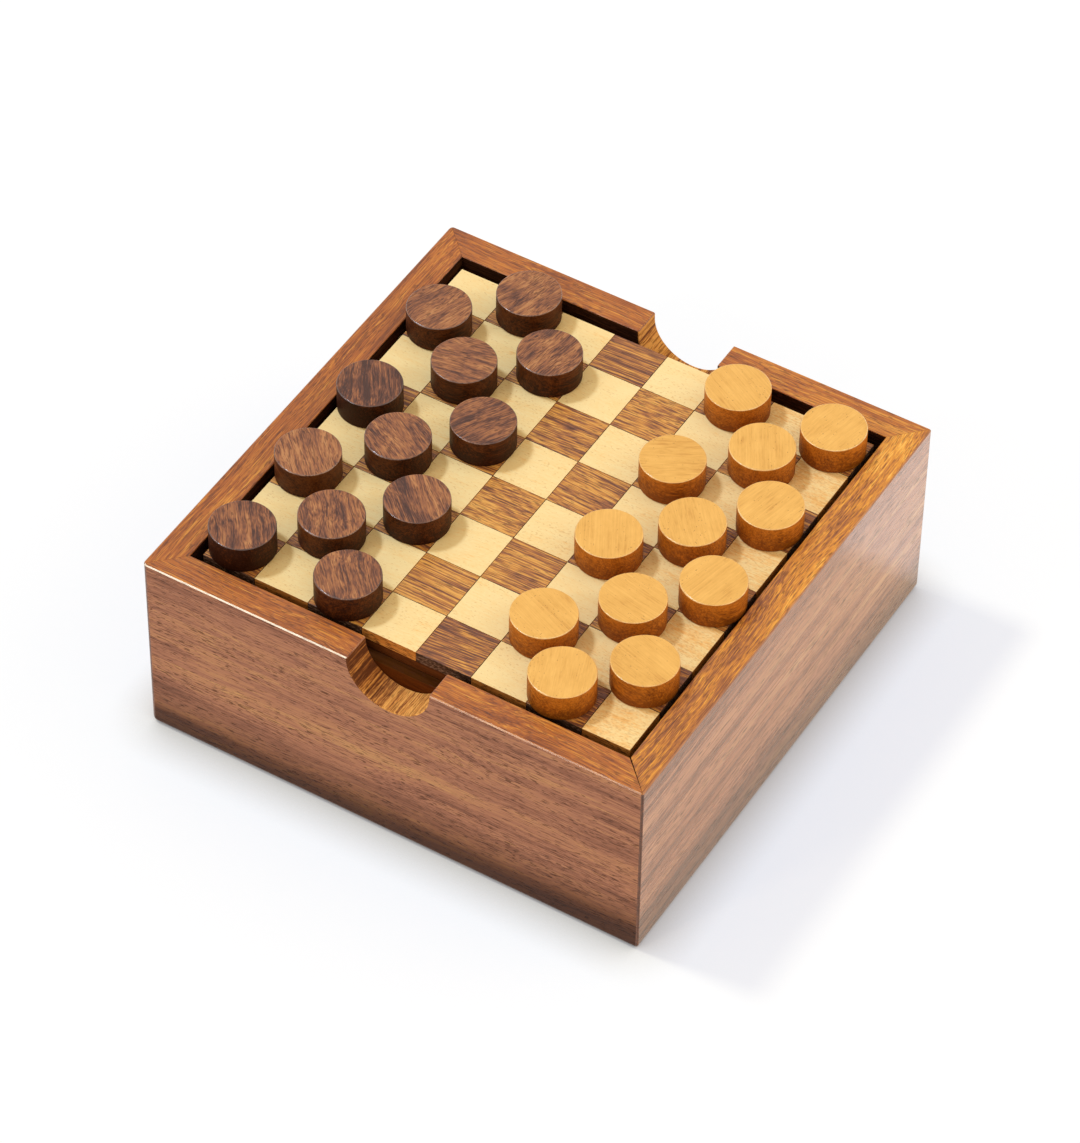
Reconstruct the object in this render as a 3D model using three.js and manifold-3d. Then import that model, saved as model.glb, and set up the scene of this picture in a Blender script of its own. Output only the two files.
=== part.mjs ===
// A checkers and tic-tac-toe set: a mitred storage box, a reversible board that lies on strips in its mouth,
// and twelve dark and twelve light discs set out on the board.
// Millimetres. X runs along the two notched walls, Y along the two plain ones, Z up from the underside.
import * as THREE from "three";
import { mergeVertices } from "three/addons/utils/BufferGeometryUtils.js";
import Module from "manifold-3d";

const wasm = await Module();
wasm.setup();

// Box.
const boxWidth = 150;
const boxDepth = 151;
const boxHeight = 60.5;
const wallThickness = 9;
const topChamfer = 0.4;
const cornerChamfer = 0.9;
const baseChamfer = 1.8;

// Finger notches in the front and back walls: straight sides for the drop, then a half round.
const notchRadius = 12.2;
const frontNotchDrop = 0.4;
const backNotchDrop = 1.6;
const backNotchShift = 2.3;
const notchSteps = 20;

// Bottom panel, in a rabbet round the feet of the walls.
const panelThickness = 4;
const rabbetDepth = 4.5;

// Strips glued inside the walls, which carry the board.
const stripWidth = 6;
const stripHeight = 12;

// Board: a dark sheet that holds the dark squares, with the light squares let in between them.
const boardRecess = 1.35;
const boardGapSide = 1.9;
const boardGapEnd = 3.05;
const squareDepth = 3.4;
const sheetThickness = 3;
const squaresAcross = 8;

// What was trimmed off the outer squares on each side of the board.
const trimLeft = 0.5;
const trimRight = 2.3;
const trimFront = 1.5;
const trimBack = 2.4;

// How far the dark squares' corners are cut back, where the light squares hold together.
const cornerCut = 0.5;

// Lines of the tic-tac-toe field, let into the board's other face.
const gridMargin = 9;
const gridLineWidth = 3;
const gridLineDepth = 1.2;
const cellsAcross = 3;

// Discs.
const discDiameter = 17.9;
const discThickness = 8.4;
const discChamfer = 0.5;
const discSides = 32;

// Clearances.
const glueLine = 0.06;
const squareJoint = 0.14;
const seatGap = 0.05;
const panelGap = 0.3;
const discGap = 0.15;

// How far cutters and joined solids run past the faces that they meet.
const overrun = 2;

// Where each disc stands: its column and row, and how far off its square's middle to the right and to the back,
// in shares of the play that it has before it could meet its neighbour.
const darkPlaceShares = [
  [0, 0, -0.67, 0.28],
  [0, 2, -0.87, -0.2],
  [0, 4, -1.01, -1.23],
  [0, 6, -0.94, -0.41],
  [1, 1, -0.1, -0.03],
  [1, 3, -0.37, 0.24],
  [1, 5, -0.51, 0.58],
  [1, 7, 0.04, 0.03],
  [2, 0, -0.43, 0.14],
  [2, 2, -0.15, 0],
  [2, 4, -0.36, 0.41],
  [2, 6, 0.26, -0.14],
];
const lightPlaceShares = [
  [5, 1, 0.24, -0.44],
  [5, 3, 0.11, -0.31],
  [5, 5, 0.24, -0.51],
  [5, 7, 0.79, -0.65],
  [6, 0, -0.42, 0.14],
  [6, 2, 0.47, -0.34],
  [6, 4, 0.19, -0.82],
  [6, 6, 0.95, -0.48],
  [7, 1, -0.54, -0.65],
  [7, 3, -0.2, -0.37],
  [7, 5, -0.54, -0.99],
  [7, 7, -0.54, -0.52],
];

// Sizes worked out from those above.
const mouthWidth = boxWidth - 2 * wallThickness;
const mouthDepth = boxDepth - 2 * wallThickness;
const boardWidth = mouthWidth - 2 * boardGapSide;
const boardDepth = mouthDepth - 2 * boardGapEnd;
const boardTop = boxHeight - boardRecess;
const boardBottom = boardTop - squareDepth - sheetThickness;
const stripTop = boardBottom - seatGap;
const squareWidth = (boardWidth + trimLeft + trimRight) / squaresAcross;
const squareLength = (boardDepth + trimFront + trimBack) / squaresAcross;
const discRadius = discDiameter / 2;

const woods = {
  wall: new THREE.MeshStandardMaterial({ color: 0x9c6a4b, roughness: 0.55, metalness: 0 }),
  panel: new THREE.MeshStandardMaterial({ color: 0x7a5236, roughness: 0.7, metalness: 0 }),
  strip: new THREE.MeshStandardMaterial({ color: 0x4a2c18, roughness: 0.7, metalness: 0 }),
  darkSquare: new THREE.MeshStandardMaterial({ color: 0x9d6a3f, roughness: 0.5, metalness: 0 }),
  lightSquare: new THREE.MeshStandardMaterial({ color: 0xf8da9a, roughness: 0.5, metalness: 0 }),
  darkDisc: new THREE.MeshStandardMaterial({ color: 0x6c4331, roughness: 0.4, metalness: 0 }),
  lightDisc: new THREE.MeshStandardMaterial({ color: 0xe9b060, roughness: 0.4, metalness: 0 }),
};

const set = new THREE.Group();

function addPiece(name, geometry, material) {
  const mesh = new THREE.Mesh(geometry, material);
  mesh.name = name;
  set.add(mesh);
  return mesh;
}

// A closed geometry as a solid that can be cut and joined.
function solidOf(geometry) {
  const bare = geometry.clone();
  bare.deleteAttribute("normal");
  bare.deleteAttribute("uv");
  const merged = mergeVertices(bare);
  return new wasm.Manifold(
    new wasm.Mesh({
      numProp: 3,
      vertProperties: merged.attributes.position.array,
      triVerts: new Uint32Array(merged.index.array),
    }),
  );
}

function geometryOf(solid) {
  const mesh = solid.getMesh();
  const geometry = new THREE.BufferGeometry();
  geometry.setAttribute("position", new THREE.BufferAttribute(mesh.vertProperties, 3));
  geometry.setIndex(new THREE.BufferAttribute(mesh.triVerts, 1));
  geometry.computeVertexNormals();
  return geometry;
}

// A box between two corners.
function block(low, high) {
  const size = high.map((value, axis) => value - low[axis]);
  const geometry = new THREE.BoxGeometry(...size);
  return geometry.translate(...low.map((value, axis) => value + size[axis] / 2));
}

// An outline in the XY plane, extruded upwards from one height to another.
function prism(points, bottom, top) {
  const outline = new THREE.Shape(points.map(([x, y]) => new THREE.Vector2(x, y)));
  const geometry = new THREE.ExtrudeGeometry(outline, { depth: top - bottom, bevelEnabled: false });
  return geometry.translate(0, 0, bottom);
}

// An outline of (across, height) points, extruded along the run of a wall: run is +X, across is +Y.
function alongRun(outline, start, end) {
  const geometry = new THREE.ExtrudeGeometry(outline, { depth: end - start, bevelEnabled: false });
  const toRun = new THREE.Matrix4().makeBasis(
    new THREE.Vector3(0, 1, 0),
    new THREE.Vector3(0, 0, 1),
    new THREE.Vector3(1, 0, 0),
  );
  return geometry.applyMatrix4(toRun).translate(start, 0, 0);
}

// Section of a wall: across counts inwards from its outer face.
function wallSection() {
  return new THREE.Shape([
    new THREE.Vector2(baseChamfer, 0),
    new THREE.Vector2(wallThickness - rabbetDepth, 0),
    new THREE.Vector2(wallThickness - rabbetDepth, panelThickness + glueLine),
    new THREE.Vector2(wallThickness, panelThickness + glueLine),
    new THREE.Vector2(wallThickness, boxHeight),
    new THREE.Vector2(topChamfer, boxHeight),
    new THREE.Vector2(0, boxHeight - topChamfer),
    new THREE.Vector2(0, baseChamfer),
  ]);
}

// Cutter of a finger notch, through the whole wall, with its middle at a place along the run.
function notchCutter(middle, drop) {
  const centreHeight = boxHeight - drop;
  const points = [new THREE.Vector2(middle - notchRadius, boxHeight + overrun)];
  for (let step = 0; step <= notchSteps; step += 1) {
    const angle = Math.PI * (1 + step / notchSteps);
    const x = middle + notchRadius * Math.cos(angle);
    points.push(new THREE.Vector2(x, centreHeight + notchRadius * Math.sin(angle)));
  }
  points.push(new THREE.Vector2(middle + notchRadius, boxHeight + overrun));
  const depth = wallThickness + 2 * overrun;
  const geometry = new THREE.ExtrudeGeometry(new THREE.Shape(points), { depth, bevelEnabled: false });
  const toWall = new THREE.Matrix4().makeBasis(
    new THREE.Vector3(1, 0, 0),
    new THREE.Vector3(0, 0, 1),
    new THREE.Vector3(0, -1, 0),
  );
  return geometry.applyMatrix4(toWall).translate(0, depth - overrun, 0);
}

// A mitred wall with its outer corner at the origin, its run along +X and its inner side towards +Y.
function wall(run, notch) {
  const setBack = glueLine / 2;
  const bevelPoint = cornerChamfer / 2;
  const plan = [
    [setBack + bevelPoint, bevelPoint],
    [setBack + cornerChamfer, 0],
    [run - setBack - cornerChamfer, 0],
    [run - setBack - bevelPoint, bevelPoint],
    [run - setBack - wallThickness, wallThickness],
    [setBack + wallThickness, wallThickness],
  ];
  const bar = solidOf(alongRun(wallSection(), 0, run));
  const mitred = bar.intersect(solidOf(prism(plan, -overrun, boxHeight + overrun)));
  if (!notch) return mitred;
  return mitred.subtract(solidOf(notchCutter(notch.middle, notch.drop)));
}

// The four walls, each turned so that its run goes round the box counter-clockwise seen from above.
function addWalls() {
  const halfWidth = boxWidth / 2;
  const halfDepth = boxDepth / 2;
  const frontNotch = { middle: halfWidth, drop: frontNotchDrop };
  const backNotch = { middle: halfWidth - backNotchShift, drop: backNotchDrop };
  const sides = [
    { name: "wall_front", run: boxWidth, notch: frontNotch, corner: [-halfWidth, -halfDepth], along: [1, 0] },
    { name: "wall_right", run: boxDepth, notch: null, corner: [halfWidth, -halfDepth], along: [0, 1] },
    { name: "wall_back", run: boxWidth, notch: backNotch, corner: [halfWidth, halfDepth], along: [-1, 0] },
    { name: "wall_left", run: boxDepth, notch: null, corner: [-halfWidth, halfDepth], along: [0, -1] },
  ];
  for (const side of sides) {
    const [alongX, alongY] = side.along;
    const turn = new THREE.Matrix4().makeBasis(
      new THREE.Vector3(alongX, alongY, 0),
      new THREE.Vector3(-alongY, alongX, 0),
      new THREE.Vector3(0, 0, 1),
    );
    const geometry = geometryOf(wall(side.run, side.notch));
    geometry.applyMatrix4(turn).translate(...side.corner, 0);
    addPiece(side.name, geometry, woods.wall);
  }
}

function addBottomPanel() {
  const reachX = mouthWidth / 2 + rabbetDepth - panelGap;
  const reachY = mouthDepth / 2 + rabbetDepth - panelGap;
  const geometry = block([-reachX, -reachY, 0], [reachX, reachY, panelThickness]);
  addPiece("bottom_panel", geometry, woods.panel);
}

// The front and back strips run from side to side, and the left and right ones fit between them.
function addStrips() {
  const outerX = mouthWidth / 2 - glueLine;
  const outerY = mouthDepth / 2 - glueLine;
  const innerX = outerX - stripWidth;
  const innerY = outerY - stripWidth;
  const endY = innerY - glueLine;
  const low = stripTop - stripHeight;
  addPiece("strip_front", block([-outerX, -outerY, low], [outerX, -innerY, stripTop]), woods.strip);
  addPiece("strip_back", block([-outerX, innerY, low], [outerX, outerY, stripTop]), woods.strip);
  addPiece("strip_left", block([-outerX, -endY, low], [-innerX, endY, stripTop]), woods.strip);
  addPiece("strip_right", block([innerX, -endY, low], [outerX, endY, stripTop]), woods.strip);
}

// Where a line between two columns or rows lies, with the outer ones at the board's edges.
function columnLine(index) {
  if (index === 0) return -boardWidth / 2;
  if (index === squaresAcross) return boardWidth / 2;
  return -boardWidth / 2 - trimLeft + index * squareWidth;
}

function rowLine(index) {
  if (index === 0) return -boardDepth / 2;
  if (index === squaresAcross) return boardDepth / 2;
  return -boardDepth / 2 - trimFront + index * squareLength;
}

// The plan of a dark square, grown by an amount on each side that meets a light square and reaching past
// the board's edges by another. Corners inside the board are cut off.
function darkOutline(column, row, grow, reach) {
  const last = squaresAcross - 1;
  const left = columnLine(column) - (column === 0 ? reach : grow);
  const right = columnLine(column + 1) + (column === last ? reach : grow);
  const front = rowLine(row) - (row === 0 ? reach : grow);
  const back = rowLine(row + 1) + (row === last ? reach : grow);
  const cut = cornerCut + grow * (2 - Math.SQRT2);
  const corners = [
    { x: left, y: front, inX: cut, inY: cut, inside: column > 0 && row > 0 },
    { x: right, y: front, inX: -cut, inY: cut, inside: column < last && row > 0 },
    { x: right, y: back, inX: -cut, inY: -cut, inside: column < last && row < last },
    { x: left, y: back, inX: cut, inY: -cut, inside: column > 0 && row < last },
  ];
  return corners.flatMap(({ x, y, inX, inY, inside }, index) => {
    if (!inside) return [[x, y]];
    const onSide = [x, y + inY];
    const onEnd = [x + inX, y];
    return index % 2 === 0 ? [onSide, onEnd] : [onEnd, onSide];
  });
}

// What the dark squares leave of a slab that reaches past the board's edges by the given amount.
function lightField(grow, reach, bottom, top) {
  const halfWidth = boardWidth / 2 + reach;
  const halfDepth = boardDepth / 2 + reach;
  let field = solidOf(block([-halfWidth, -halfDepth, bottom], [halfWidth, halfDepth, top]));
  for (let column = 0; column < squaresAcross; column += 1) {
    for (let row = column % 2; row < squaresAcross; row += 2) {
      const outline = darkOutline(column, row, grow, reach + overrun);
      field = field.subtract(solidOf(prism(outline, bottom - overrun, top + overrun)));
    }
  }
  return field;
}

// The lines of the tic-tac-toe field as one solid, as wide as asked.
function gridLines(width, bottom, top) {
  const reachX = boardWidth / 2 - gridMargin;
  const reachY = boardDepth / 2 - gridMargin;
  const slack = width - gridLineWidth;
  let lines = null;
  for (let line = 1; line < cellsAcross; line += 1) {
    const x = -reachX + (2 * reachX * line) / cellsAcross;
    const y = -reachY + (2 * reachY * line) / cellsAcross;
    const endX = reachX + slack / 2;
    const endY = reachY + slack / 2;
    const lengthways = block([x - width / 2, -endY, bottom], [x + width / 2, endY, top]);
    const crossways = block([-endX, y - width / 2, bottom], [endX, y + width / 2, top]);
    for (const bar of [lengthways, crossways]) {
      lines = lines ? lines.add(solidOf(bar)) : solidOf(bar);
    }
  }
  return lines;
}

// The dark sheet, with the dark squares left standing where the light ones are let in.
function addBoardCore() {
  const halfWidth = boardWidth / 2;
  const halfDepth = boardDepth / 2;
  const slab = solidOf(block([-halfWidth, -halfDepth, boardBottom], [halfWidth, halfDepth, boardTop]));
  const pockets = lightField(-squareJoint / 2, overrun, boardBottom + sheetThickness, boardTop + overrun);
  const grooveDepth = gridLineDepth + glueLine;
  const grooves = gridLines(gridLineWidth + 2 * glueLine, boardBottom - overrun, boardBottom + grooveDepth);
  addPiece("board_core", geometryOf(slab.subtract(pockets).subtract(grooves)), woods.darkSquare);
}

function addLightSquares() {
  const bottom = boardBottom + sheetThickness + glueLine;
  addPiece("light_squares", geometryOf(lightField(squareJoint / 2, 0, bottom, boardTop)), woods.lightSquare);
}

function addGridInlay() {
  const lines = gridLines(gridLineWidth, boardBottom, boardBottom + gridLineDepth);
  addPiece("grid_inlay", geometryOf(lines), woods.lightSquare);
}

function discGeometry() {
  const profile = [
    [0, 0],
    [discRadius - discChamfer, 0],
    [discRadius, discChamfer],
    [discRadius, discThickness - discChamfer],
    [discRadius - discChamfer, discThickness],
    [0, discThickness],
  ];
  const points = profile.map(([radius, height]) => new THREE.Vector2(radius, height));
  return new THREE.LatheGeometry(points, discSides).rotateX(Math.PI / 2);
}

function columnMiddle(column) {
  return -boardWidth / 2 - trimLeft + (column + 1 / 2) * squareWidth;
}

function rowMiddle(row) {
  return -boardDepth / 2 - trimFront + (row + 1 / 2) * squareLength;
}

// How much the rows of discs are drawn in, so that the outer ones clear the walls.
function drawnIn(middle, reach) {
  const outermost = Math.max(Math.abs(middle(0)), Math.abs(middle(squaresAcross - 1)));
  return Math.min(1, reach / outermost);
}

// The discs stand near the middles of their squares, clear of the walls and of each other.
function addDiscs(prefix, placeShares, material) {
  const reachX = mouthWidth / 2 - discRadius - discGap;
  const reachY = mouthDepth / 2 - discRadius - discGap;
  const drawX = drawnIn(columnMiddle, reachX);
  const drawY = drawnIn(rowMiddle, reachY);
  const apart = Math.hypot(squareWidth * drawX, squareLength * drawY);
  const play = (apart - discDiameter - discGap) / 2;
  placeShares.forEach(([column, row, shareX, shareY], index) => {
    const x = columnMiddle(column) * drawX + shareX * play;
    const y = rowMiddle(row) * drawY + shareY * play;
    const mesh = addPiece(`${prefix}_${index + 1}`, discGeometry(), material);
    mesh.position.x = THREE.MathUtils.clamp(x, -reachX, reachX);
    mesh.position.y = THREE.MathUtils.clamp(y, -reachY, reachY);
    mesh.position.z = boardTop + seatGap;
  });
}

addWalls();
addBottomPanel();
addStrips();
addBoardCore();
addLightSquares();
addGridInlay();
addDiscs("dark_disc", darkPlaceShares, woods.darkDisc);
addDiscs("light_disc", lightPlaceShares, woods.lightDisc);

export default set;
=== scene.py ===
import math
import random

import bmesh
import bpy
from mathutils import Matrix, Vector, noise


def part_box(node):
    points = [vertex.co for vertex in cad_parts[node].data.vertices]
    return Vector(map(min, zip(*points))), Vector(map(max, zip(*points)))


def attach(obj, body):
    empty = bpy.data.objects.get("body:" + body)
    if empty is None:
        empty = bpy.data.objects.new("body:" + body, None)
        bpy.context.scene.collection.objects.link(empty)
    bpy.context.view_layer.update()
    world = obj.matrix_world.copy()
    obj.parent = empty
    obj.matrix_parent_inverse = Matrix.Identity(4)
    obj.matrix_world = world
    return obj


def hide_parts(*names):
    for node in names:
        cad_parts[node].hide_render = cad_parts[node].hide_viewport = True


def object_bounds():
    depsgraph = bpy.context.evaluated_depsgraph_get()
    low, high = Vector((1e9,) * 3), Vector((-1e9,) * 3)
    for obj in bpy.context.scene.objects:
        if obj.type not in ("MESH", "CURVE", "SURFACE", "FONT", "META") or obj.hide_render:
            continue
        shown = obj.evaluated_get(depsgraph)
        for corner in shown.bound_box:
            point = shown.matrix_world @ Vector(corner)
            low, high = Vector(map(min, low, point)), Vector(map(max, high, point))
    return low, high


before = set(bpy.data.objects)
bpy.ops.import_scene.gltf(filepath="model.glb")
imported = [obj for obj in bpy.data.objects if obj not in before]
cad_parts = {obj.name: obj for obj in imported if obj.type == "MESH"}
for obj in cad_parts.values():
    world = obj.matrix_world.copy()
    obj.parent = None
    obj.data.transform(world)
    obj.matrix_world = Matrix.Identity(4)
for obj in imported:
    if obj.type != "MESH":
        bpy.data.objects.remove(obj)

# Bounds of the imported model, from which the box's outer sizes are read.
cad_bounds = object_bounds()

# All sizes below are in millimetres, and meshes are made in metres.
MM = 0.001

# The photograph's camera: where it looks from, and where the middle of the box's top lies in its picture.
VIEW_AZIMUTH = 30.584
VIEW_ELEVATION = 46.525
VIEW_ROLL = 0.918
VIEW_DISTANCE = 1363.78
TOP_RIGHT_OF_CENTRE = 0.597
TOP_ABOVE_CENTRE = 19.859
FOCAL_LENGTH_PIXELS = 5218.483
PICTURE_LONG_SIDE_PIXELS = 1143
SENSOR = 36

# Box.
RABBET_DEPTH = 4.5
PANEL_THICKNESS = 4
BASE_ROUND = 1.8
BASE_STEPS = 5
TOP_CHAMFER = 0.32
MOUTH_CHAMFER = 0.2
CORNER_STEPS = 4
GLUE_LINE = 0.06
NOTCH_RADIUS = 12.2
NOTCH_STEPS = 56
NOTCH_LIP = 0.5
LIP_STEPS = 4
LIP_GAP = 0.2
FRONT_NOTCH_DROP = 0.4
BACK_NOTCH_DROP = 1.6
BACK_NOTCH_SHIFT = 2.3

# How a notch's cut face goes from dark at its start, by how far it is along in notch radii, to golden. The dark
# start is painted shade.
CUT_SHADED_START_TONE = -0.4
CUT_TONE_RISE = 0.62
CUT_END_TONE = 0.18

# Heights on the front wall, and how much lighter its wood is there.
FRONT_BANDS = ((15, -0.02), (21, 0.0), (29, 0.05), (35, -0.04), (44, 0.13), (50, -0.02), (57, -0.04))

# Painted shade along a wall's foot: where it starts, where it is full, and what it multiplies the colour by.
# The very bottom gets more painted shade still. On the front the painted shade is lower at the left end by the
# slope.
FOOT_SHADE_EDGE = (20, 9, (0.38, 0.30, 0.19))
FOOT_SHADE_BOTTOM = (11, 5, (0.45, 0.4, 0.34))
FOOT_SHADE_SLOPE = 3

# Painted shade on a wall's inner side: its tone at the mouth, and how much lighter it gets down to the floor
# panel.
MOUTH_SHADE_TONE = -0.15
INSIDE_TONE_RISE = 0.6

# How round the upright corners are, from the near left one to the far left one, and how far the near right
# one's mitre has opened at the mouth.
CORNER_ROUNDS = (1.5, 0.7, 0.8, 1.1)
OPEN_MITRE = 0.22

# Board.
SQUARES_ACROSS = 8
SHEET_THICKNESS = 3
TRIM_LEFT = 0.5
TRIM_RIGHT = 2.3
TRIM_FRONT = 1.5
TRIM_BACK = 2.4
SQUARE_JOINT = 0.14
SQUARE_EDGE_ROUND = 0.1
SHEET_EDGE_ROUND = 0.25
GRID_MARGIN = 9
GRID_LINE_WIDTH = 3
GRID_LINE_DEPTH = 1.2
GRID_EDGE_ROUND = 0.08
GRID_PROUD = 0.02
CELLS_ACROSS = 3

# Inside.
EDGE_STEPS = 2
PANEL_EDGE_ROUND = 0.12
STRIP_EDGE_ROUND = 0.3

# Discs.
DISC_SIDES = 128
DISC_TOP_ROUND = 0.32
DISC_FOOT_ROUND = 0.3
DISC_CROWN = 0.05
DISC_UNEVEN = 0.05
DISC_ROUND_STEPS = 5
DISC_SIDE_SHARES = (1 / 3, 2 / 3)
DISC_TOP_SHARES = (0.8, 0.5, 0.25)

# How often a disc's outline and its worn edge change round the disc, and how much the edge's wear changes.
OUTLINE_WAVES = 0.8
WEAR_WAVES = 1.6
WEAR_CHANGE = 0.6
WEAR_STRAND = 5.0
DISC_NOISE_STEP = 3.7

# How far the grain of the squares and discs is turned and dipped at random, in degrees.
SQUARE_TURN = 4
SQUARE_DIP = 6
DISC_DIP = 5
SQUARE_TONE_CHANGE = 0.08

# How far away in the wood the pieces' places are.
FAR_OFF = 900

# Faces that meet at less than these angles are shaded as one.
SMOOTH_BELOW = 40
DISC_SMOOTH_BELOW = 50

# Painted shade on a disc's side: how much darker it gets from a share of its height down to its foot.
SIDE_SHADE = 0.4
SIDE_SHADE_START = 0.9

random.seed(20)

# Sizes read from the frame.
outer_low, outer_high = (corner / MM for corner in cad_bounds)
wall_low, wall_high = (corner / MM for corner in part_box("wall_front"))
BOX_WIDTH = outer_high.x - outer_low.x
BOX_DEPTH = outer_high.y - outer_low.y
BOX_HEIGHT = wall_high.z
WALL_THICKNESS = wall_high.y - wall_low.y
board_low, board_high = (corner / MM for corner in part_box("board_core"))
BOARD_WIDTH = board_high.x - board_low.x
BOARD_DEPTH = board_high.y - board_low.y
BOARD_TOP = board_high.z
BOARD_BOTTOM = board_low.z


# Camera

def add_camera():
    azimuth, elevation, roll = (math.radians(a) for a in (VIEW_AZIMUTH, VIEW_ELEVATION, VIEW_ROLL))
    level = Vector((math.cos(azimuth), math.sin(azimuth), 0))
    back = Vector((
        math.sin(azimuth) * math.cos(elevation),
        -math.cos(azimuth) * math.cos(elevation),
        math.sin(elevation),
    ))
    upright = back.cross(level)
    right = level * math.cos(roll) + upright * math.sin(roll)
    up = upright * math.cos(roll) - level * math.sin(roll)
    top_middle = Vector((0, 0, BOX_HEIGHT))
    place = top_middle + back * VIEW_DISTANCE - right * TOP_RIGHT_OF_CENTRE - up * TOP_ABOVE_CENTRE
    data = bpy.data.cameras.new("photo_camera")
    data.sensor_width = SENSOR
    data.lens = FOCAL_LENGTH_PIXELS / PICTURE_LONG_SIDE_PIXELS * SENSOR
    data.clip_start = 0.01
    data.clip_end = 100
    camera = bpy.data.objects.new("photo_camera", data)
    bpy.context.collection.objects.link(camera)
    camera.matrix_world = Matrix.Translation(place * MM) @ Matrix((right, up, back)).transposed().to_4x4()
    bpy.context.scene.camera = camera


# Node helpers

def add_node(tree, kind, inputs=(), **settings):
    """A node with its settings, and its inputs given by name or number as a value or as a socket to link."""
    node = tree.nodes.new(kind)
    for name, value in settings.items():
        setattr(node, name, value)
    for name, value in dict(inputs).items():
        if isinstance(value, bpy.types.NodeSocket):
            tree.links.new(value, node.inputs[name])
        else:
            node.inputs[name].default_value = value
    return node


def math_of(tree, operation, first, second=0.0, clamp=False):
    node = add_node(tree, "ShaderNodeMath", {0: first, 1: second}, operation=operation, use_clamp=clamp)
    return node.outputs[0]


def mixed(tree, share, first, second, blend="MIX"):
    node = add_node(tree, "ShaderNodeMix", data_type="RGBA", blend_type=blend, clamp_factor=True)
    sockets = {"Factor_Float": share, "A_Color": first, "B_Color": second}
    by_id = {socket.identifier: socket for socket in node.inputs}
    for name, value in sockets.items():
        if isinstance(value, bpy.types.NodeSocket):
            tree.links.new(value, by_id[name])
        else:
            by_id[name].default_value = value
    return next(socket for socket in node.outputs if socket.identifier == "Result_Color")


def ranged(tree, value, low, high, new_low=0.0, new_high=1.0):
    node = add_node(tree, "ShaderNodeMapRange", {
        "Value": value, "From Min": low, "From Max": high, "To Min": new_low, "To Max": new_high,
    })
    return node.outputs["Result"]


def stretched(tree, vector, along, across, shift=0.0):
    """Wood coordinates as multiples of a feature's length along the grain and its width across it."""
    node = add_node(tree, "ShaderNodeVectorMath", {
        0: vector, 1: (1 / along, 1 / across, 1 / across), 2: (shift, shift, shift),
    }, operation="MULTIPLY_ADD")
    return node.outputs[0]


def noise_of(tree, vector, along, across, detail=2.0, rough=0.5, shift=0.0):
    node = add_node(tree, "ShaderNodeTexNoise", {
        "Vector": stretched(tree, vector, along, across, shift),
        "Scale": 1.0, "Detail": detail, "Roughness": rough,
    })
    return node.outputs["Fac"]


def rgba(colour):
    return (*colour, 1.0)


def ramp_of(tree, value, stops):
    """A colour that goes through the stops, each a position and a colour."""
    ramp = add_node(tree, "ShaderNodeValToRGB", {"Fac": value})
    made = ramp.color_ramp.elements
    for index, (position, colour) in enumerate(stops):
        stop = made[index] if index < 2 else made.new(position)
        stop.position = position
        stop.color = rgba(colour)
    return ramp.outputs["Color"]


# Wood: every finish is this one pattern with its own colours, grain, pores and gloss.
# Lengths are in millimetres. A grain layer is its length, its width, how far it moves the tone, and how crisp
# it is. A tone of 0.5 is the middle of the colours.

# How far a noise goes from its middle, as a rule.
NOISE_REACH = 0.25

# How far the edges of the bands and of the painted shade at the foot follow the grain.
BAND_WAVE = 10
FOOT_WAVE = 9

# The bands in which the pores crowd, and where each pattern lies in its noise.
CROWD_LENGTH = 45
CROWD_WIDTH = 4
LAYER_SHIFT = 7
PORE_SHIFT = 61
CROWD_SHIFT = 67

# Narrower layers need no finer detail.
DETAILED_WIDTH = 1

GRAIN_RELIEF = 0.5
RELIEF_DEPTH = 0.08
PORE_DULLNESS = 0.2
LACQUER_IOR = 1.5
COAT_ROUGHNESS = 0.18

WOOD_DEFAULTS = {
    "place": "wood",
    "tone": "tone",
    "warp": 2.0,
    "warp_length": 55,
    "warp_width": 20,
    "layers": (
        (160, 8, 0.9, 1), (70, 1.9, 0.8, 1), (40, 0.6, 0.8, 1.2), (15, 0.25, 0.7, 1.2), (24, 14, 0.35, 1),
    ),
    "pore_length": 2.6,
    "pore_width": 0.27,
    "pore_start": 0.6,
    "pore_end": 0.67,
    "pore_share": 0.75,
    "pore_crowding": 0.35,
    "pore_by_tone": 0.0,
    "pore_colour": (0.07, 0.022, 0.01),
    "bands": (),
    "foot_share": 0.0,
    "rough": 0.34,
    "rough_more": 0.14,
    "specular": 0.5,
    "coat": 0.15,
    "bump": 0.4,
}
RAW = {"coat": 0.0, "specular": 0.08, "rough": 0.75}
SATIN = {"coat": 0.0, "specular": 0.4}


def swing_of(tree, value, size):
    """A noise's distance from its middle, times a size."""
    return math_of(tree, "MULTIPLY", math_of(tree, "SUBTRACT", value, 0.5), size)


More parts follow.
